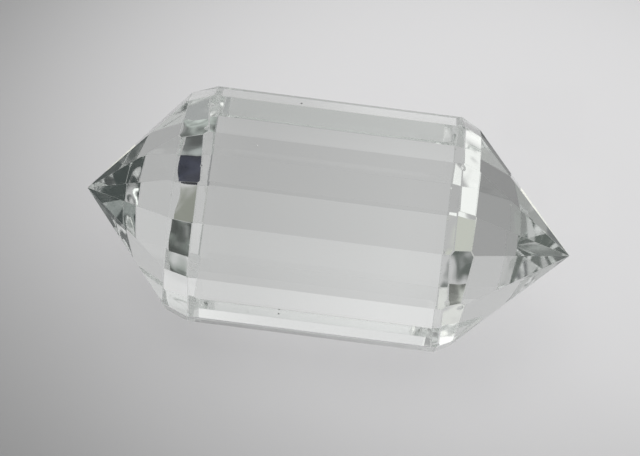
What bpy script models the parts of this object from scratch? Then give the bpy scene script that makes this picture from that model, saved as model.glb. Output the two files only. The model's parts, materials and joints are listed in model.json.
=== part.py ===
"""Double terminated quartz point: one clear crystal, ground and polished by hand.

The crystal lies along X on one long side of its prism, with the sharper point at +X.  Its
prism has fourteen sides of unequal width, most of them parallel to the one across.  At each
end a narrow shoulder facet breaks every side, and above the shoulders the facets of a cone
run up to the tip.  The shoulders of the far sides have slopes of their own.
The crystal is shaped as a cutter shapes it: a round blank loses everything outside one
flat plane after another.
"""

from math import cos, radians, sin, tan
from random import Random

import bmesh
import bpy
from mathutils import Matrix, Vector

MM = 0.001                       # the shape is worked out in millimetres and stored in metres

# --- driving dimensions, in millimetres and degrees ---
BODY_RADIUS = 7.30               # from the axis to the long edges of the prism
SIDE_SPANS = (                   # of the fourteen sides about the axis, from the resting side
    25.9, 25.2, 19.7, 27.9, 30.2, 25.3, 23.2,
    28.5, 25.2, 19.7, 27.9, 32.3, 23.2, 25.8,
)

BLUNT_END = {
    "direction": -1.0,           # towards -X
    "ring": 9.27,                # from mid-crystal to the edge between shoulder and cone
    "tip": 14.95,                # from mid-crystal to the point
    "tip_drift": -0.10,          # how far the point misses the axis
    "shoulder_run": 1.51,        # how far along the axis a shoulder facet reaches
    "near_slope": 20.8,          # between a shoulder facet and its side, on the near sides
    "far_slope": 26.0,           # and on the far sides
    "turned": {7: 2.3, 8: 1.6},  # sides whose shoulder facet is turned about the axis
}
SHARP_END = {
    "direction": 1.0,
    "ring": 8.53,
    "tip": 15.04,
    "tip_drift": 0.33,
    "shoulder_run": 1.096,
    "near_slope": 27.6,
    "far_slope": 22.0,
    "turned": {10: -3.0, 11: -1.7},
}
FAR_SIDES = range(5)             # numbers of the sides that were cut with the far slopes
DRIFT_HEADING = -41.55           # the way both points miss the axis, from straight down

SLOPE_WANDER = 0.8               # a shoulder facet's slope is true to this many degrees
TURN_WANDER = 0.9                # and its turn about the axis, unless stated, to this many
HAND_SEED = 14                   # which small errors the hand made

BLANK_MARGIN = 1.2               # the round blank stands this much proud of the finished stone
BLANK_SIDES = 48
SAME_CORNER = 0.002              # corners nearer than this are one corner

# --- the finish ---
QUARTZ_COLOUR = (0.97, 0.98, 0.975, 1.0)
QUARTZ_IOR = 1.544
QUARTZ_ROUGHNESS = 0.02

AXIS = Vector((1.0, 0.0, 0.0))


def clear_scene():
    """Remove every object, so the part starts from an empty scene."""
    for old in list(bpy.data.objects):
        bpy.data.objects.remove(old, do_unlink=True)


def around(heading):
    """Unit vector square to the axis; 0 points straight down and 90 points to +Y."""
    angle = radians(heading)
    return Vector((0.0, sin(angle), -cos(angle)))


def side_headings():
    """Heading and half span of each of the fourteen sides; the first faces straight down."""
    sides = []
    edge = -SIDE_SPANS[0] / 2
    for span in SIDE_SPANS:
        sides.append((edge + span / 2, span / 2))
        edge += span
    return sides


def round_blank():
    """The rough stone: a plain cylinder along X, a little larger than the crystal."""
    blank = bmesh.new()
    radius = BODY_RADIUS + BLANK_MARGIN
    bmesh.ops.create_cone(
        blank, cap_ends=True, segments=BLANK_SIDES, radius1=radius, radius2=radius,
        depth=BLUNT_END["tip"] + SHARP_END["tip"] + 2 * BLANK_MARGIN,
        matrix=Matrix.Rotation(radians(90), 4, "Y"))
    return blank


def grind(stone, point, outward):
    """Take off everything outside one plane and close the stone with the new facet."""
    everything = stone.verts[:] + stone.edges[:] + stone.faces[:]
    cut = bmesh.ops.bisect_plane(
        stone, geom=everything, dist=1e-6, plane_co=point, plane_no=outward, clear_outer=True)
    rim = [item for item in cut["geom_cut"] if isinstance(item, bmesh.types.BMEdge)]
    if rim:
        bmesh.ops.edgenet_fill(stone, edges=rim)


def grind_side(stone, heading, half_span):
    """Cut one long side of the prism, and return its distance from the axis."""
    reach = BODY_RADIUS * cos(radians(half_span))
    grind(stone, around(heading) * reach, around(heading))
    return reach


def grind_end(stone, end, side, heading, reach, hand):
    """Cut the shoulder facet and the cone facet of one numbered side at one end."""
    meant = end["far_slope"] if side in FAR_SIDES else end["near_slope"]
    drop = end["shoulder_run"] * tan(radians(meant))
    ring_point = AXIS * (end["direction"] * end["ring"]) + around(heading) * (reach - drop)

    slope = radians(meant + hand.uniform(-SLOPE_WANDER, SLOPE_WANDER))
    turn = end["turned"].get(side, hand.uniform(-TURN_WANDER, TURN_WANDER))
    shoulder = around(heading + turn) * cos(slope) + AXIS * (end["direction"] * sin(slope))
    grind(stone, ring_point, shoulder)

    tip = AXIS * (end["direction"] * end["tip"]) + around(DRIFT_HEADING) * end["tip_drift"]
    cone = around(heading + 90).cross(tip - ring_point).normalized()
    if cone.dot(around(heading)) < 0:
        cone.negate()
    grind(stone, ring_point, cone)


def cut_crystal():
    """The whole crystal about its own axis, in millimetres."""
    stone = round_blank()
    hand = Random(HAND_SEED)
    for side, (heading, half_span) in enumerate(side_headings()):
        reach = grind_side(stone, heading, half_span)
        for end in (BLUNT_END, SHARP_END):
            grind_end(stone, end, side, heading, reach, hand)
    bmesh.ops.remove_doubles(stone, verts=stone.verts[:], dist=SAME_CORNER)
    bmesh.ops.recalc_face_normals(stone, faces=stone.faces[:])
    return stone


def lay_down(stone):
    """Move the stone so it lies on Z = 0 with the middle of its box over the origin."""
    low = Vector([min(vert.co[k] for vert in stone.verts) for k in range(3)])
    high = Vector([max(vert.co[k] for vert in stone.verts) for k in range(3)])
    foot = Vector(((low.x + high.x) / 2, (low.y + high.y) / 2, low.z))
    bmesh.ops.translate(stone, verts=stone.verts[:], vec=-foot)
    bmesh.ops.scale(stone, verts=stone.verts[:], vec=(MM, MM, MM))


def quartz_material():
    """Clear polished rock crystal."""
    material = bpy.data.materials.new("clear_quartz")
    material.use_nodes = True
    shader = material.node_tree.nodes["Principled BSDF"]
    shader.inputs["Base Color"].default_value = QUARTZ_COLOUR
    shader.inputs["Metallic"].default_value = 0.0
    shader.inputs["Roughness"].default_value = QUARTZ_ROUGHNESS
    shader.inputs["IOR"].default_value = QUARTZ_IOR
    shader.inputs["Transmission Weight"].default_value = 1.0
    return material


def main():
    clear_scene()
    parts = bpy.data.collections.new("double_terminated_quartz_point")
    bpy.context.scene.collection.children.link(parts)

    stone = cut_crystal()
    lay_down(stone)
    mesh = bpy.data.meshes.new("quartz_point")
    stone.to_mesh(mesh)
    stone.free()
    mesh.materials.append(quartz_material())
    parts.objects.link(bpy.data.objects.new("quartz_point", mesh))


main()
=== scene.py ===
"""The finish of a double terminated quartz point, and the studio that it is shown in.

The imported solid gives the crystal's facets.  Here every edge gets the narrow strip that wear
leaves, the edges of the two shoulders get small nicks, and two grains lie sealed in the stone.
The studio is a pale floor, a tent with cards that the stone bends into view, and a room above.
Lengths are in millimetres until a mesh is finished, and angles are in degrees.
"""

import json
from math import cos, radians, sin, tan
from random import Random

import bmesh
import bpy
from mathutils import Matrix, Vector

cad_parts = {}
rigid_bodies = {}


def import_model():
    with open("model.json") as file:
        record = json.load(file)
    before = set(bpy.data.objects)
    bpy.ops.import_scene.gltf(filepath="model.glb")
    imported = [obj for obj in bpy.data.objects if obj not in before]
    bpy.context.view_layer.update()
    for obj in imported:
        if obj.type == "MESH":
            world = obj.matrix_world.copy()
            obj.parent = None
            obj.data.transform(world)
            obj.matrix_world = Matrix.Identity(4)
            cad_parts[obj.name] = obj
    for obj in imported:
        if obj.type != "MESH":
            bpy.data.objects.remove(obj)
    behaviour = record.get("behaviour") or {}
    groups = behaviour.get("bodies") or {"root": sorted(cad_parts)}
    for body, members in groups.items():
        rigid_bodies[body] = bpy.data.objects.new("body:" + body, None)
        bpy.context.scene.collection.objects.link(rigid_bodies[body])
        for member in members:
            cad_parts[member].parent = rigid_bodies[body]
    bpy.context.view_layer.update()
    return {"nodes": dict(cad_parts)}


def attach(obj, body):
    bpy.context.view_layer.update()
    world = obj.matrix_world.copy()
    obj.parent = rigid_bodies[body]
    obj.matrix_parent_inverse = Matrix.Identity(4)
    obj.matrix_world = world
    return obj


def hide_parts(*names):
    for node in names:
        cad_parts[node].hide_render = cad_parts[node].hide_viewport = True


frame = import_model()

MM = 0.001                       # one millimetre in the frame's metres
NODE = "quartz_point"
BODY = "root"

# --- worn edges ---
STRIP_WIDTHS = {                 # least and most width of the worn strip, by the kinds of its facets
    ("side", "side"): (0.006, 0.014),
    ("shoulder", "side"): (0.060, 0.110),
    ("cone", "shoulder"): (0.050, 0.090),
    ("shoulder", "shoulder"): (0.012, 0.035),
    ("cone", "cone"): (0.010, 0.025),
}
STRIP_LEAN = 0.25                # how far a strip may lean to one facet, as a share of their angle
SHORTEST_WORN = 0.25             # edges shorter than this keep their corner
TIP_WEAR = 0.03                  # what both points have lost
SIDE_LEAN = 0.08                 # a facet that faces along the crystal less than this is a side,
SHOULDER_LEAN = 0.56             # less than this a shoulder, and otherwise part of a cone
TIP_LEAN = 0.2                   # how far the flat on a point may lean
PACKED_CORNER = 1e-7             # in metres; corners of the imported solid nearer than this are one
CUT_CORNER = 1e-4                # and corners of the worn stone, in millimetres
SAME_FACET = 0.6                 # triangles that differ by less than this make one facet
WEAR_SEED = 31

# --- nicks, chips and a scratch, as balls and a rod that are cut out of the stone ---
NICK_INPUTS = {                  # the settings of the nicks along the edges of the shoulders
    "Spacing": 0.13,             # between the places where a nick may be
    "Share": 0.12,               # of those places that have one
    "Least Size": 0.12,          # radius of the smallest ball
    "Greatest Size": 0.50,
    "Least Depth": 0.030,        # how deep a nick goes below the sharp edge
    "Greatest Depth": 0.070,
    "Seed": 5,
}
FULL_TURN = 6.28                 # in radians
CHIPS = (                        # place, radius of the ball, depth
    ((7.45, -1.90, 14.05), 0.40, 0.06),
    ((7.44, -7.12, 8.14), 0.50, 0.07),
    ((8.36, -6.65, 7.35), 0.42, 0.08),
    ((-7.76, -1.20, 14.20), 0.60, 0.06),
    ((-7.75, 0.90, 14.14), 0.45, 0.05),
)
CHIP_LEAN = 0.3                  # how far a chip's ball leans towards its end of the crystal
SCRATCH = ((-10.62, 0.80, 12.12), (-9.55, 0.58, 13.33))
SCRATCH_RADIUS = 0.16
SCRATCH_TAPER = 0.98             # the rod's far end, as a share of its near end
SCRATCH_DEPTH = 0.045
SAME_PLANE = 2e-3                # a face nearer than this to a facet's plane lies on it,
SAME_HEADING = 0.9999            # when its normal agrees with the facet's by more than this
LEAST_RUN = 0.05                 # a face with less of the crystal's length in it is mapped by Y

# --- sealed grains: place, half sizes, colour ---
GRAINS = {
    "dark_grain": ((-2.531, 2.718, 13.454), (0.068, 0.19, 0.068), (0.01, 0.01, 0.01, 1.0)),
    "pale_grain": ((-4.721, -1.770, 13.630), (0.06, 0.06, 0.05), (0.90, 0.90, 0.88, 1.0)),
}
GRAIN_ROUGHNESS = 0.7
GRAIN_SPECKLE = 9000.0           # scale of the speckle on a grain
GRAIN_LIFT = (1.3, 0.01)         # how much lighter the speckle is: times, and plus
GRAIN_LUMPS = (0.8, 1.0)         # least and greatest reach of a grain's corners
GRAIN_SEED = 3

# --- quartz ---
QUARTZ_COLOUR = (0.985, 0.992, 0.988, 1.0)
QUARTZ_IOR = 1.544
ABSORBED_COLOUR = (0.94, 0.98, 0.95, 1.0)
ABSORBED_DENSITY = 8.0           # to a metre

# --- polish ---
POLISHED = 0.012                 # roughness of a clean facet
SHOULDER_DULLNESS = 0.02         # what a shoulder facet adds to it
WORN_DULLNESS = 0.26             # and what a worn strip or a nick adds
# marks that run along a facet: scale along, scale across, where the noise starts and where it
# is full, added roughness
HAZE = (0.35, 9.0, 0.35, 0.75, 0.035)
FINE_SCRATCHES = (0.9, 26.0, 0.70, 0.76, 0.22)
WAVE_START = (0.8, 0.0, 0.0)     # in metres, where the uneven polish of the shoulders is read
WAVE_SCALE = 480.0
WAVE_HEIGHT = 0.00012            # in metres

# --- camera ---
IMAGE = (640, 456)
FOCAL = 2009.0                   # the lens's focal length in the image's pixels
SCALE = 16.233                   # pixels to a millimetre at the crystal's axis
MIDDLE = (328.0, 219.8)          # where the crystal's middle stands in the image
CAMERA_ELEVATION = 41.55
CAMERA_ROLL = 7.25
SENSOR = 36.0
NEAREST_SEEN = 0.001             # in metres from the camera
AXIS_MIDDLE = (-0.045, 0.0, 7.114)   # the middle of the crystal's axis, in the frame


# ---------------------------------------------------------------- nodes

def node(tree, kind, settings=None, inputs=None):
    """Add a node, with its settings and its inputs, each a value or another node's output."""
    made = tree.nodes.new(kind)
    for name, value in (settings or {}).items():
        setattr(made, name, value)
    for name, value in (inputs or {}).items():
        if isinstance(value, bpy.types.NodeSocket):
            tree.links.new(value, made.inputs[name])
        else:
            made.inputs[name].default_value = value
    return made


def sum_of(tree, operation, *values, clamp=False):
    """The output of a Math node."""
    made = node(tree, "ShaderNodeMath", {"operation": operation, "use_clamp": clamp},
                dict(enumerate(values)))
    return made.outputs[0]


def dot(tree, vector, constant):
    """How far a direction runs along a constant one."""
    made = node(tree, "ShaderNodeVectorMath", {"operation": "DOT_PRODUCT"},
                {0: vector, 1: tuple(constant)})
    return made.outputs["Value"]


def smooth_step(tree, value, start, end, low=0.0, high=1.0):
    """A smooth change from low to high as the value goes from start to end."""
    made = node(tree, "ShaderNodeMapRange", {"interpolation_type": "SMOOTHSTEP"}, {
        "Value": value, "From Min": start, "From Max": end, "To Min": low, "To Max": high})
    return made.outputs["Result"]


def blend(tree, share, first, second):
    """A mix of two colours."""
    made = node(tree, "ShaderNodeMix", {"data_type": "RGBA"}, {0: share, 6: first, 7: second})
    return made.outputs[2]


# ---------------------------------------------------------------- the crystal's shape

def facet_kind(normal):
    """Which cut a facet belongs to, told by how far it faces along the crystal."""
    lean = abs(normal.x)
    if lean < SIDE_LEAN:
        return "side"
    return "shoulder" if lean < SHOULDER_LEAN else "cone"


def packed_crystal():
    """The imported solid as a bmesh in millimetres, with whole facets in place of triangles."""
    stone = bmesh.new()
    stone.from_mesh(frame["nodes"][NODE].data)
    bmesh.ops.remove_doubles(stone, verts=stone.verts[:], dist=PACKED_CORNER)
    bmesh.ops.dissolve_limit(
        stone, angle_limit=radians(SAME_FACET), verts=stone.verts[:], edges=stone.edges[:])
    bmesh.ops.scale(stone, verts=stone.verts[:], vec=Vector((1, 1, 1)) / MM)
    stone.normal_update()
    return stone


def grind(stone, point, outward):
    """Take off everything outside one plane and close the stone with a flat face."""
    everything = stone.verts[:] + stone.edges[:] + stone.faces[:]
    cut = bmesh.ops.bisect_plane(
        stone, geom=everything, dist=1e-6, plane_co=point, plane_no=outward, clear_outer=True)
    rim = [item for item in cut["geom_cut"] if isinstance(item, bmesh.types.BMEdge)]
    if rim:
        bmesh.ops.edgenet_fill(stone, edges=rim)


def worn_strips(stone, wear):
    """Point and outward direction of the plane that wears each edge down to a narrow strip."""
    strips = []
    for edge in stone.edges:
        length = edge.calc_length()
        if length < SHORTEST_WORN:
            continue
        first, second = sorted((face.normal for face in edge.link_faces), key=lambda n: abs(n.x))
        kinds = tuple(sorted((facet_kind(first), facet_kind(second))))
        angle = first.angle(second)
        share = 0.5 + wear.uniform(-STRIP_LEAN, STRIP_LEAN)
        outward = first.lerp(second, share).normalized()

        start, end = (vert.co for vert in edge.verts)
        depths = [wear.uniform(*STRIP_WIDTHS[kinds]) * tan(angle / 2) / 2 for _ in range(2)]
        lowered = [corner - outward * depth for corner, depth in zip((start, end), depths)]
        slope = (lowered[1] - lowered[0]).normalized()
        outward = (outward - slope * outward.dot(slope)).normalized()
        strips.append(((lowered[0] + lowered[1]) / 2, outward))
    return strips


def cut_strips(stone):
    """Wear down every edge of the stone, and both points."""
    wear = Random(WEAR_SEED)
    strips = worn_strips(stone, wear)
    for sign in (-1, 1):
        tip = max(stone.verts, key=lambda vert: vert.co.x * sign).co.copy()
        lean = Vector((sign, wear.uniform(-TIP_LEAN, TIP_LEAN), wear.uniform(-TIP_LEAN, TIP_LEAN)))
        strips.append((tip - Vector((sign * TIP_WEAR, 0, 0)), lean.normalized()))
    for point, outward in strips:
        grind(stone, point, outward)
    bmesh.ops.remove_doubles(stone, verts=stone.verts[:], dist=CUT_CORNER)
    bmesh.ops.recalc_face_normals(stone, faces=stone.faces[:])


def nick_tree():
    """Geometry nodes that set faceted balls along edges, most of each ball outside the stone."""
    tree = bpy.data.node_groups.new("nicks_along_edges", "GeometryNodeTree")
    tree.interface.new_socket("Geometry", in_out="INPUT", socket_type="NodeSocketGeometry")
    for name, value in NICK_INPUTS.items():
        kind = "NodeSocketInt" if isinstance(value, int) else "NodeSocketFloat"
        tree.interface.new_socket(name, in_out="INPUT", socket_type=kind)
    tree.interface.new_socket("Material", in_out="INPUT", socket_type="NodeSocketMaterial")
    tree.interface.new_socket("Geometry", in_out="OUTPUT", socket_type="NodeSocketGeometry")
    given = node(tree, "NodeGroupInput").outputs

    curve = node(tree, "GeometryNodeMeshToCurve", None, {"Mesh": given["Geometry"]})
    places = node(tree, "GeometryNodeCurveToPoints", {"mode": "LENGTH"}, {
        "Curve": curve.outputs["Curve"], "Length": given["Spacing"]})
    size = node(tree, "FunctionNodeRandomValue", None, {
        2: given["Least Size"], 3: given["Greatest Size"], 8: given["Seed"]})
    sized = node(tree, "GeometryNodeStoreNamedAttribute", {"data_type": "FLOAT"}, {
        "Geometry": places.outputs["Points"], "Name": "size", "Value": size.outputs[1]})
    known = node(tree, "GeometryNodeInputNamedAttribute", {"data_type": "FLOAT"}, {"Name": "size"})
    outward = node(tree, "GeometryNodeInputNamedAttribute", {"data_type": "FLOAT_VECTOR"}, {
        "Name": "outward"})

    other_seed = sum_of(tree, "ADD", given["Seed"], 1.0)
    depth = node(tree, "FunctionNodeRandomValue", None, {
        2: given["Least Depth"], 3: given["Greatest Depth"], 8: other_seed})
    lift = sum_of(tree, "SUBTRACT", known.outputs["Attribute"], depth.outputs[1])
    offset = node(tree, "ShaderNodeVectorMath", {"operation": "SCALE"}, {
        0: outward.outputs["Attribute"], "Scale": lift})
    raised = node(tree, "GeometryNodeSetPosition", None, {
        "Geometry": sized.outputs["Geometry"], "Offset": offset.outputs[0]})

    third_seed = sum_of(tree, "ADD", given["Seed"], 2.0)
    kept = node(tree, "FunctionNodeRandomValue", {"data_type": "BOOLEAN"}, {
        6: given["Share"], 8: third_seed})
    turned = node(tree, "FunctionNodeRandomValue", {"data_type": "FLOAT_VECTOR"}, {
        0: (0.0, 0.0, 0.0), 1: (FULL_TURN, FULL_TURN, FULL_TURN), 8: third_seed})
    ball = node(tree, "GeometryNodeMeshIcoSphere", None, {"Radius": 1.0, "Subdivisions": 1})
    balls = node(tree, "GeometryNodeInstanceOnPoints", None, {
        "Points": raised.outputs["Geometry"], "Selection": kept.outputs[3],
        "Instance": ball.outputs["Mesh"], "Rotation": turned.outputs[0],
        "Scale": known.outputs["Attribute"]})
    solid = node(tree, "GeometryNodeRealizeInstances", None, {
        "Geometry": balls.outputs["Instances"]})
    made = node(tree, "GeometryNodeSetMaterial", None, {
        "Geometry": solid.outputs["Geometry"], "Material": given["Material"]})
    node(tree, "NodeGroupOutput", None, {"Geometry": made.outputs["Geometry"]})
    return tree


def shoulder_edges(stone):
    """The edges of the shoulder facets as loose lines, each end with its outward direction."""
    corners, lines, outward = [], [], []
    for edge in stone.edges:
        kinds = {facet_kind(face.normal) for face in edge.link_faces}
        if "shoulder" not in kinds or len(kinds) == 1 or edge.calc_length() < SHORTEST_WORN:
            continue
        direction = sum((face.normal for face in edge.link_faces), Vector()).normalized()
        lines.append((len(corners), len(corners) + 1))
        corners += [vert.co.copy() for vert in edge.verts]
        outward += [*direction, *direction]
    mesh = bpy.data.meshes.new("shoulder_edges")
    mesh.from_pydata(corners, lines, [])
    mesh.attributes.new("outward", "FLOAT_VECTOR", "POINT").data.foreach_set("vector", outward)
    return mesh


def nicks(stone, material):
    """The balls along the edges of the shoulders, as one mesh."""
    holder = bpy.data.objects.new("nicks", shoulder_edges(stone))
    bpy.context.scene.collection.objects.link(holder)
    modifier = holder.modifiers.new("nicks", "NODES")
    modifier.node_group = nick_tree()
    for socket in modifier.node_group.interface.items_tree:
        if socket.in_out == "INPUT" and socket.name in NICK_INPUTS:
            modifier[socket.identifier] = NICK_INPUTS[socket.name]
        if socket.in_out == "INPUT" and socket.name == "Material":
            modifier[socket.identifier] = material
    ready = holder.evaluated_get(bpy.context.evaluated_depsgraph_get())
    balls = bpy.data.meshes.new_from_object(ready)
    bpy.data.objects.remove(holder, do_unlink=True)
    return balls


def add_chips(cutter):
    """The balls of the larger chips, each most of the way out of the stone."""
    middle = Vector(AXIS_MIDDLE)
    for place, radius, depth in CHIPS:
        outward = Vector((place[0] * CHIP_LEAN, place[1], place[2] - middle.z)).normalized()
        centre = Vector(place) + outward * (radius - depth)
        bmesh.ops.create_icosphere(
            cutter, subdivisions=2, radius=radius, matrix=Matrix.Translation(centre))


def add_scratch(cutter, stone):
    """The rod of the scratch, sunk a little into a facet of the blunt end's cone."""
    start, end = (Vector(place) for place in SCRATCH)
    cone = [face for face in stone.faces
            if facet_kind(face.normal) == "cone" and face.normal.x < 0]
    facet = min(cone, key=lambda face: abs((start - face.verts[0].co).dot(face.normal)))
    run = end - start
    centre = (start + end) / 2 + facet.normal * (SCRATCH_RADIUS - SCRATCH_DEPTH)
    rod = Matrix.Translation(centre) @ run.to_track_quat("Z", "Y").to_matrix().to_4x4()
    bmesh.ops.create_cone(
        cutter, cap_ends=True, segments=20, radius1=SCRATCH_RADIUS,
        radius2=SCRATCH_RADIUS * SCRATCH_TAPER, depth=run.length, matrix=rod)


def damage(stone, material):
    """Everything that is cut out of the stone: nicks, chips and one long scratch."""
    cutter = bmesh.new()
    cutter.from_mesh(nicks(stone, material))
    add_chips(cutter)
    add_scratch(cutter, stone)
    mesh = bpy.data.meshes.new("damage")
    cutter.to_mesh(mesh)
    cutter.free()
    return mesh


def cut_out(stone, cutter):
    """The stone without what the cutter's mesh covers."""
    scene = bpy.context.scene.collection.objects
    whole = bpy.data.meshes.new("whole")
    stone.to_mesh(whole)
    body = bpy.data.objects.new("whole", whole)
    tool = bpy.data.objects.new("damage", cutter)
    scene.link(body)
    scene.link(tool)
    cut = body.modifiers.new("damage", "BOOLEAN")
    cut.operation = "DIFFERENCE"
    cut.solver = "EXACT"
    cut.use_self = True
    cut.object = tool
    ready = body.evaluated_get(bpy.context.evaluated_depsgraph_get())
    mesh = bpy.data.meshes.new_from_object(ready)
    for done in (body, tool):
        bpy.data.objects.remove(done, do_unlink=True)
    damaged = bmesh.new()
    damaged.from_mesh(mesh)
    return damaged


def facet_planes(stone):
    """The plane of each facet, as its normal and its distance along that from the origin."""
    return [(face.normal.copy(), face.verts[0].co.dot(face.normal)) for face in stone.faces]


def on_a_facet(face, planes):
    """Whether a face is what is left of a polished facet."""
    corner = face.calc_center_median()
    for normal, reach in planes:
        near = abs(corner.dot(normal) - reach) < SAME_PLANE
        if near and face.normal.dot(normal) > SAME_HEADING:
            return True
    return False


def mark_finish(stone, planes):
    """Note on each face whether it is worn, and whether it belongs to a shoulder."""
    worn = stone.faces.layers.float.new("worn")
    shoulder = stone.faces.layers.float.new("shoulder")
    stone.normal_update()
    for face in stone.faces:
        polished = on_a_facet(face, planes)
        face[worn] = 0.0 if polished else 1.0
        face[shoulder] = 1.0 if polished and facet_kind(face.normal) == "shoulder" else 0.0


def map_polish(stone):
    """Lay a flat map in millimetres on each facet, for the polish that runs across it."""
    layer = stone.loops.layers.uv.new("facet_mm")
    for face in stone.faces:
        along = Vector((1, 0, 0)) - face.normal * face.normal.x
        if along.length < LEAST_RUN:
            along = Vector((0, 1, 0))
        along.normalize()
        across = face.normal.cross(along)
        for loop in face.loops:
            loop[layer].uv = (loop.vert.co.dot(along), loop.vert.co.dot(across))


def finished(name, stone, material):
    """Turn a bmesh in millimetres into a finished object in the frame's metres."""
    bmesh.ops.scale(stone, verts=stone.verts[:], vec=Vector((1, 1, 1)) * MM)
    mesh = bpy.data.meshes.new(name)
    stone.to_mesh(mesh)
    stone.free()
    mesh.materials.clear()
    mesh.materials.append(material)
    for polygon in mesh.polygons:
        polygon.material_index = 0
    piece = bpy.data.objects.new(name, mesh)
    bpy.context.scene.collection.objects.link(piece)
    return piece


def polished_crystal():
    """The crystal that is seen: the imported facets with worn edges, nicks and chips."""
    material = quartz()
    stone = packed_crystal()
    planes = facet_planes(stone)
    cutter = damage(stone, material)
    cut_strips(stone)
    stone = cut_out(stone, cutter)
    mark_finish(stone, planes)
    map_polish(stone)
    piece = finished("polished_crystal", stone, material)
    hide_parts(NODE)
    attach(piece, BODY)


def grains():
    """The two specks that lie sealed in the stone, as rough little lumps."""
    rough = Random(GRAIN_SEED)
    for name, (place, half_sizes, colour) in GRAINS.items():
        lump = bmesh.new()
        bmesh.ops.create_icosphere(lump, subdivisions=2, radius=1.0)
        for vert in lump.verts:
            vert.co *= rough.uniform(*GRAIN_LUMPS)
        bmesh.ops.scale(lump, verts=lump.verts[:], vec=Vector(half_sizes))
        bmesh.ops.translate(lump, verts=lump.verts[:], vec=Vector(place))
        piece = finished(name, lump, grain_material(name, colour))
        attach(piece, BODY)


# ---------------------------------------------------------------- materials

def new_material(name):
    """An empty node material, with its tree and its Principled shader."""
    material = bpy.data.materials.new(name)
    material.use_nodes = True
    return material, material.node_tree, material.node_tree.nodes["Principled BSDF"]


def marks(tree, surface, along, across, start, end, roughness):
    """The roughness that fine marks along a facet add."""
    scale = node(tree, "ShaderNodeVectorMath", {"operation": "MULTIPLY"}, {
        0: surface, 1: (along, across, 1.0)})
    noise = node(tree, "ShaderNodeTexNoise", None, {
        "Vector": scale.outputs[0], "Scale": 1.0, "Detail": 3.0, "Roughness": 0.6})
    share = smooth_step(tree, noise.outputs["Fac"], start, end)
    return sum_of(tree, "MULTIPLY", share, roughness)


def quartz_roughness(tree, worn, shoulder):
    """How rough each facet is: haze and fine scratches, duller shoulders, dull worn strips."""
    surface = node(tree, "ShaderNodeUVMap", {"uv_map": "facet_mm"}).outputs["UV"]
    haze = marks(tree, surface, *HAZE)
    scratches = marks(tree, surface, *FINE_SCRATCHES)
    dull_shoulder = sum_of(tree, "MULTIPLY", shoulder, SHOULDER_DULLNESS)
    base = sum_of(tree, "ADD", haze, dull_shoulder)
    polish = sum_of(tree, "ADD", sum_of(tree, "ADD", base, scratches), POLISHED)
    dull = sum_of(tree, "MULTIPLY", worn, WORN_DULLNESS)
    return sum_of(tree, "ADD", polish, dull)


def quartz_waves(tree, shoulder):
    """The slight waviness that hand polish leaves on the shoulders."""
    place = node(tree, "ShaderNodeVectorMath", {"operation": "ADD"}, {
        0: node(tree, "ShaderNodeTexCoord").outputs["Object"], 1: WAVE_START}).outputs[0]
    wave = node(tree, "ShaderNodeTexNoise", None, {
        "Vector": place, "Scale": WAVE_SCALE, "Detail": 0.6, "Roughness": 0.4})
    swell = sum_of(tree, "MULTIPLY", wave.outputs["Fac"], shoulder)
    bump = node(tree, "ShaderNodeBump", None, {
        "Strength": 1.0, "Distance": WAVE_HEIGHT, "Height": swell})
    return bump.outputs["Normal"]


def quartz():
    """Clear rock crystal: glassy facets with a breath of polish haze, and duller worn edges."""
    material, tree, shader = new_material("rock_crystal")
    shader.inputs["Base Color"].default_value = QUARTZ_COLOUR
    shader.inputs["Transmission Weight"].default_value = 1.0
    shader.inputs["IOR"].default_value = QUARTZ_IOR

    worn = node(tree, "ShaderNodeAttribute", {"attribute_name": "worn"}).outputs["Fac"]
    shoulder = node(tree, "ShaderNodeAttribute", {"attribute_name": "shoulder"}).outputs["Fac"]
    tree.links.new(quartz_roughness(tree, worn, shoulder), shader.inputs["Roughness"])
    tree.links.new(quartz_waves(tree, shoulder), shader.inputs["Normal"])

    absorb = node(tree, "ShaderNodeVolumeAbsorption")
    absorb.inputs["Color"].default_value = ABSORBED_COLOUR
    absorb.inputs["Density"].default_value = ABSORBED_DENSITY
    output = tree.nodes["Material Output"]
    tree.links.new(absorb.outputs[0], output.inputs["Volume"])
    return material


def grain_material(name, colour):
    """A dull mineral grain, a little uneven in colour."""
    material, tree, shader = new_material(name)
    place = node(tree, "ShaderNodeTexCoord").outputs["Object"]
    patch = node(tree, "ShaderNodeTexNoise", None, {"Vector": place, "Scale": GRAIN_SPECKLE})
    times, plus = GRAIN_LIFT
    lighter = tuple(min(1.0, channel * times + plus) for channel in colour[:3]) + (1.0,)
    tone = blend(tree, patch.outputs["Fac"], colour, lighter)
    tree.links.new(tone, shader.inputs["Base Color"])
    shader.inputs["Roughness"].default_value = GRAIN_ROUGHNESS
    return material


def matt_material(name, colour):
    """A matt material of one colour, for the floor and the cards on it."""
    material, _, shader = new_material(name)
    shader.inputs["Base Color"].default_value = (*colour, 1.0)
    shader.inputs["Roughness"].default_value = MATT
    return material


# ---------------------------------------------------------------- the studio

def level_axes():
    """Right along the crystal, up across it and back to the camera, as directions in the frame."""
    height = radians(CAMERA_ELEVATION)
    back = Vector((0.0, -cos(height), sin(height)))
    right = Vector((1.0, 0.0, 0.0))
    return right, back.cross(right), back


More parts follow.
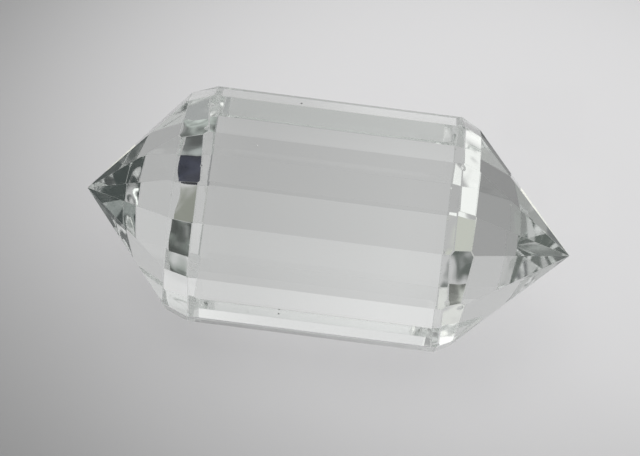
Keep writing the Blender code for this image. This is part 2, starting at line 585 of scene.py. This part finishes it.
def camera():
    """The camera, at the distance and framing that the constants give."""
    level, upright, back = level_axes()
    roll = radians(CAMERA_ROLL)
    right = level * cos(roll) + upright * sin(roll)
    up = upright * cos(roll) - level * sin(roll)
    data = bpy.data.cameras.new("camera")
    data.sensor_width = SENSOR
    data.lens = SENSOR * FOCAL / IMAGE[0]
    data.clip_start = NEAREST_SEEN
    eye = bpy.data.objects.new("camera", data)
    bpy.context.scene.collection.objects.link(eye)
    aside = right * (IMAGE[0] / 2 - MIDDLE[0]) + up * (MIDDLE[1] - IMAGE[1] / 2)
    place = Matrix((right, up, back)).transposed().to_4x4()
    place.translation = (Vector(AXIS_MIDDLE) + (back * FOCAL + aside) / SCALE) * MM
    eye.matrix_world = place
    bpy.context.scene.camera = eye


# azimuths and heights are measured from straight ahead of the camera, as if it stood level
TENT_HEIGHTS = (                 # brightness of the tent by height
    (-70, 0.82),
    (-40, 0.66),
    (-29.6, 0.565),
    (-28.8, 0.48),
    (-11, 0.48),
    (0, 0.545),
    (12.5, 0.635),
    (28, 0.59),
    (34, 0.735),
    (60, 0.80),
)
TENT_SIDES = (                   # and how that changes with the azimuth
    (-45, 0.90),
    (-2.4, 0.88),
    (2.4, 1.05),
    (8, 1.05),
    (30, 0.98),
    (45, 0.95),
)
ROOM = (0.49, 0.495, 0.49)       # what is overhead and behind the camera
ROOM_TILT = ((-0.06, 0.90), (0.06, 1.10))    # how it brightens from left to right
ROOM_EDGE = (-0.05, 0.1)         # how far directions rise where the tent gives way to the room
ROOM_LIGHTS = (                  # direction in the frame, spread, softness, colour
    ((0.0, -0.25, 0.97), 14, 5, (0.75, 0.75, 0.75)),
    ((-0.33, -0.03, 0.94), 15, 4, (1.15, 1.15, 1.13)),
    ((0.26, 0.20, 0.95), 8, 4, (0.33, 0.34, 0.34)),
    ((-0.12, -0.52, 0.85), 9, 4, (0.10, 0.10, 0.10)),
    ((-0.41, 0.63, 0.66), 8, 4, (1.15, 1.15, 1.13)),
)
CARDS = {                        # azimuth from and to, height from and to, softness, colour
    "left_low": (-62, -22, -36, -14, 5, (0.28, 0.28, 0.28)),
    "left_middle": (-62, -19, -14, 6, 5, (0.35, 0.35, 0.35)),
    "left_high": (-62, -18, 6, 40, 5, (0.52, 0.52, 0.52)),
    "left_under": (-70, -22, -80, -36, 5, (0.26, 0.26, 0.26)),
    "left_wing_low": (-125, -70, -38, -8, 5, (0.05, 0.055, 0.055)),
    "left_wing": (-135, -62, -8, 22, 5, (0.36, 0.37, 0.36)),
    "left_wing_high": (-125, -66, 26, 44, 5, (0.15, 0.16, 0.16)),
    "right_far": (99, 134, -32, 22, 5, (0.035, 0.047, 0.044)),
    "left_spark": (-109, -99, 19, 27, 2, (1.5, 1.5, 1.35)),
    "corner_card": (-24.5, -17.6, 29.6, 34.5, 1.5, (0.72, 0.73, 0.70)),
    "corner_softbox": (-26, -18, 34, 44, 1.5, (1.10, 1.10, 1.06)),
    "dark_above": (-14, 14, 42, 52, 6, (0.08, 0.085, 0.09)),
    "spark": (47, 56, -6, 5, 2, (1.15, 1.15, 1.12)),
    "right_wing": (56, 93, -26, 30, 4, (0.10, 0.115, 0.105)),
    "tip_card": (112, 134, -31, -13, 3, (0.23, 0.255, 0.245)),
    "tip_pale_card": (97.5, 107, 9, 19, 2, (0.52, 0.54, 0.53)),
    "tip_spark": (94, 99.5, -3.5, 3.5, 1.5, (1.15, 1.20, 1.15)),
    "front_right": (138, 168, -30, 30, 6, (0.10, 0.11, 0.105)),
    "right_low": (18, 50, -34, -16, 5, (0.44, 0.44, 0.44)),
    "under": (-14, 20, -62, -44, 6, (0.40, 0.40, 0.40)),
    "softbox": (-21, -11.4, -22, -6, 1.5, (0.94, 0.955, 0.93)),
    "low_softbox": (-21, -14.0, -36, -21, 1.5, (0.94, 0.955, 0.93)),
    "softbox_edge": (-21, -10.4, -6, 7, 1.5, (0.56, 0.575, 0.52)),
    "small_card": (-15, -11, 11.0, 16, 1.4, (0.10, 0.115, 0.105)),
    "streaked_flag": (-18, -11.5, 16, 28.4, 1.5, (0.42, 0.435, 0.40)),
    "pale_flag": (11.3, 17, -33, -22, 1.5, (0.30, 0.33, 0.31)),
    "slate_flag": (5.5, 11, -34, -22, 2, (0.19, 0.205, 0.20)),
    "night_flag": (5.5, 11, -21, -4, 1.5, (0.018, 0.020, 0.033)),
    "dim_card": (5.5, 11, -4, 0.8, 1, (0.25, 0.26, 0.225)),
    "grey_flag": (5.5, 11, 9, 31, 2, (0.155, 0.175, 0.16)),
}
CLOUD_SCALE = 17.0               # of the noise that wobbles the cards and mottles the flags
WOBBLE = 0.9                     # about how far the cards' edges wander
MOTTLE = (0.35, 1.9)             # least and greatest brightness of a flag, as shares of its colour
MOTTLE_RANGE = (0.37, 0.63)      # the noise where it has them

MATT = 0.9                       # roughness of the floor and of the cards that lie on it
FLOOR_COLOUR = (0.56, 0.555, 0.563)
FLOOR_RADIUS = 1500.0
FLOOR_DROP = 0.02                # how far it is below the stone's resting side
FLOOR_CARDS = {                  # reach along X, reach along Y, colour
    "dark_card": (11.5, 17.5, 18.6, 26.0, (0.09, 0.09, 0.092)),
    "right_white_card": (14.5, 19.0, 9.5, 17.0, (1.0, 1.0, 0.92)),
    "left_white_card": (-18.5, -15.0, 12.3, 15.9, (1.0, 1.0, 0.90)),
}

LAMP_PLACE = (0.05, 0.10, 0.45)  # in metres, like what it points at
LAMP_TARGET = (0.0136, 0.0172, 0.0)
LAMP_WATTS = 7.0
LAMP_RADIUS = 0.004
LAMP_SPREAD = 12.0

BOUNCES = 48                     # enough for light that is caught inside the stone


def window(tree, value, start, end, soft):
    """One between start and end, nought outside, with soft edges."""
    middle, half = (start + end) / 2, (end - start) / 2
    away = sum_of(tree, "ABSOLUTE", sum_of(tree, "SUBTRACT", value, middle))
    return smooth_step(tree, away, half + soft / 2, half - soft / 2)


def steps(tree, value, stops):
    """A brightness that goes through the stops, each a value with its level."""
    low, high = stops[0][0], stops[-1][0]
    place = node(tree, "ShaderNodeMapRange", None, {
        "Value": value, "From Min": low, "From Max": high})
    ramp = node(tree, "ShaderNodeValToRGB", None, {"Fac": place.outputs["Result"]})
    elements = ramp.color_ramp.elements
    while len(elements) < len(stops):
        elements.new(0.5)
    for element, (at, level) in zip(elements, stops):
        element.position = (at - low) / (high - low)
        element.color = (level, level, level, 1.0)
    return ramp.outputs["Color"]


def tent(tree, azimuth, height):
    """The pale tent round the crystal."""
    lit = node(tree, "ShaderNodeMix", {"data_type": "RGBA", "blend_type": "MULTIPLY"}, {
        0: 1.0, 6: steps(tree, height, TENT_HEIGHTS), 7: steps(tree, azimuth, TENT_SIDES)})
    return lit.outputs[2]


def room(tree, direction):
    """The room above the crystal, with its lights."""
    across = dot(tree, direction, (1, 0, 0))
    (left, dimmer), (right, brighter) = ROOM_TILT
    level = node(tree, "ShaderNodeMapRange", None, {
        "Value": across, "From Min": left, "From Max": right, "To Min": dimmer, "To Max": brighter})
    lit = node(tree, "ShaderNodeVectorMath", {"operation": "SCALE"}, {
        0: ROOM, "Scale": level.outputs["Result"]})
    colour = lit.outputs[0]
    for toward, spread, soft, tint in ROOM_LIGHTS:
        near = dot(tree, direction, Vector(toward).normalized())
        share = smooth_step(tree, near, cos(radians(spread + soft)), cos(radians(spread - soft)))
        colour = blend(tree, share, colour, (*tint, 1.0))
    return colour


def hang_cards(tree, colour, direction, azimuth, height):
    """The tent and room with the cards in front, their edges and brightness a little uneven."""
    cloud = node(tree, "ShaderNodeTexNoise", None, {
        "Vector": direction, "Scale": CLOUD_SCALE, "Detail": 3.0, "Roughness": 0.55})
    uneven = sum_of(tree, "SUBTRACT", cloud.outputs["Fac"], 0.5)
    shift = sum_of(tree, "MULTIPLY", uneven, 4 * WOBBLE)
    azimuth = sum_of(tree, "ADD", azimuth, shift)
    height = sum_of(tree, "SUBTRACT", height, shift)
    mottle = smooth_step(tree, cloud.outputs["Fac"], *MOTTLE_RANGE, *MOTTLE)
    for name, (left, right, low, high, soft, tint) in CARDS.items():
        share = sum_of(tree, "MULTIPLY", window(tree, azimuth, left, right, soft),
                       window(tree, height, low, high, soft))
        card = (*tint, 1.0)
        if name.endswith("flag"):
            card = node(tree, "ShaderNodeVectorMath", {"operation": "SCALE"}, {
                0: tint, "Scale": mottle}).outputs[0]
        colour = blend(tree, share, colour, card)
    return colour


def surroundings():
    """What the crystal refracts: a pale tent with cards below, and a room with lights above."""
    world = bpy.data.worlds.new("studio")
    bpy.context.scene.world = world
    world.use_nodes = True
    tree = world.node_tree
    right, up, back = level_axes()
    direction = node(tree, "ShaderNodeTexCoord").outputs["Generated"]
    across, ahead, rise = (dot(tree, direction, axis) for axis in (right, -back, up))
    azimuth = sum_of(tree, "DEGREES", sum_of(tree, "ARCTAN2", across, ahead))
    height = sum_of(tree, "DEGREES", sum_of(tree, "ARCSINE", rise))

    above = smooth_step(tree, dot(tree, direction, (0, 0, 1)), *ROOM_EDGE)
    colour = blend(tree, above, tent(tree, azimuth, height), room(tree, direction))
    colour = hang_cards(tree, colour, direction, azimuth, height)
    tree.links.new(colour, tree.nodes["Background"].inputs["Color"])


def floor():
    """A wide matt pale floor, which the crystal lies on but doesn't show through itself."""
    ground = bmesh.new()
    bmesh.ops.create_circle(ground, cap_ends=True, segments=96, radius=FLOOR_RADIUS)
    bmesh.ops.translate(ground, verts=ground.verts[:], vec=(0, 0, -FLOOR_DROP))
    piece = finished("floor", ground, matt_material("pale_floor", FLOOR_COLOUR))
    piece.visible_transmission = False


def floor_cards():
    """Cards flat on the floor, which only show as reflections in the facets along the top edge."""
    for name, (left, right, near, far, colour) in FLOOR_CARDS.items():
        card = bmesh.new()
        corners = ((left, near, 0), (right, near, 0), (right, far, 0), (left, far, 0))
        card.faces.new([card.verts.new(corner) for corner in corners])
        piece = finished(name, card, matt_material(name, colour))
        piece.visible_camera = False
        piece.visible_diffuse = False
        piece.visible_transmission = False
        piece.visible_shadow = False


def lamp():
    """A soft pool of light on the floor behind the crystal, which throws no shadow."""
    data = bpy.data.lights.new("pool", "SPOT")
    data.energy = LAMP_WATTS
    data.shadow_soft_size = LAMP_RADIUS
    data.spot_size = radians(LAMP_SPREAD)
    data.spot_blend = 1.0
    data.use_shadow = False
    light = bpy.data.objects.new("pool", data)
    light.visible_glossy = False
    light.visible_transmission = False
    bpy.context.scene.collection.objects.link(light)
    aim = Vector(LAMP_TARGET) - Vector(LAMP_PLACE)
    light.location = LAMP_PLACE
    light.rotation_euler = aim.to_track_quat("-Z", "Y").to_euler()


def render_settings():
    """Let light pass through all of the stone's facets, and keep colours as they are lit."""
    scene = bpy.context.scene
    scene.view_settings.view_transform = "Standard"
    scene.cycles.max_bounces = BOUNCES
    scene.cycles.transmission_bounces = BOUNCES
    scene.cycles.glossy_bounces = BOUNCES


polished_crystal()
grains()
floor()
floor_cards()
camera()
surroundings()
lamp()
render_settings()
